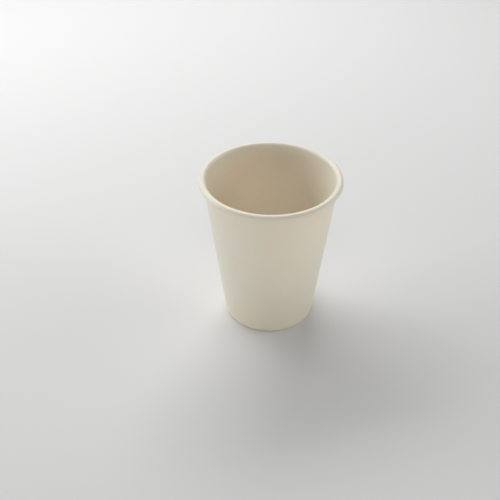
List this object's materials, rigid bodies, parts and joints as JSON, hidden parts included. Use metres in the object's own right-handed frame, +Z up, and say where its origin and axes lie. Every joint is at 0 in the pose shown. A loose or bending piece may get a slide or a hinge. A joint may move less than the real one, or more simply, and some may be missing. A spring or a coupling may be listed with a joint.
{
  "type": "plastic cup",
  "caption": "Moulded plastic drinking cup in a single piece, with a smooth tapered wall, a rounded turned-over rim and a raised base on a foot ring.",
  "frame": {"origin": "centre of the foot ring, on the plane that the cup stands on", "axes": "+Z up along the cup's own axis, from the foot to the rim; the cup is round, so X and Y are alike"},
  "size_m": [0.08, 0.08, 0.091],
  "materials": {
    "cup_plastic": "satin moulded, cream"
  },
  "bodies": {
    "root": {"cup": "cup_plastic"}
  },
  "joints": []
}
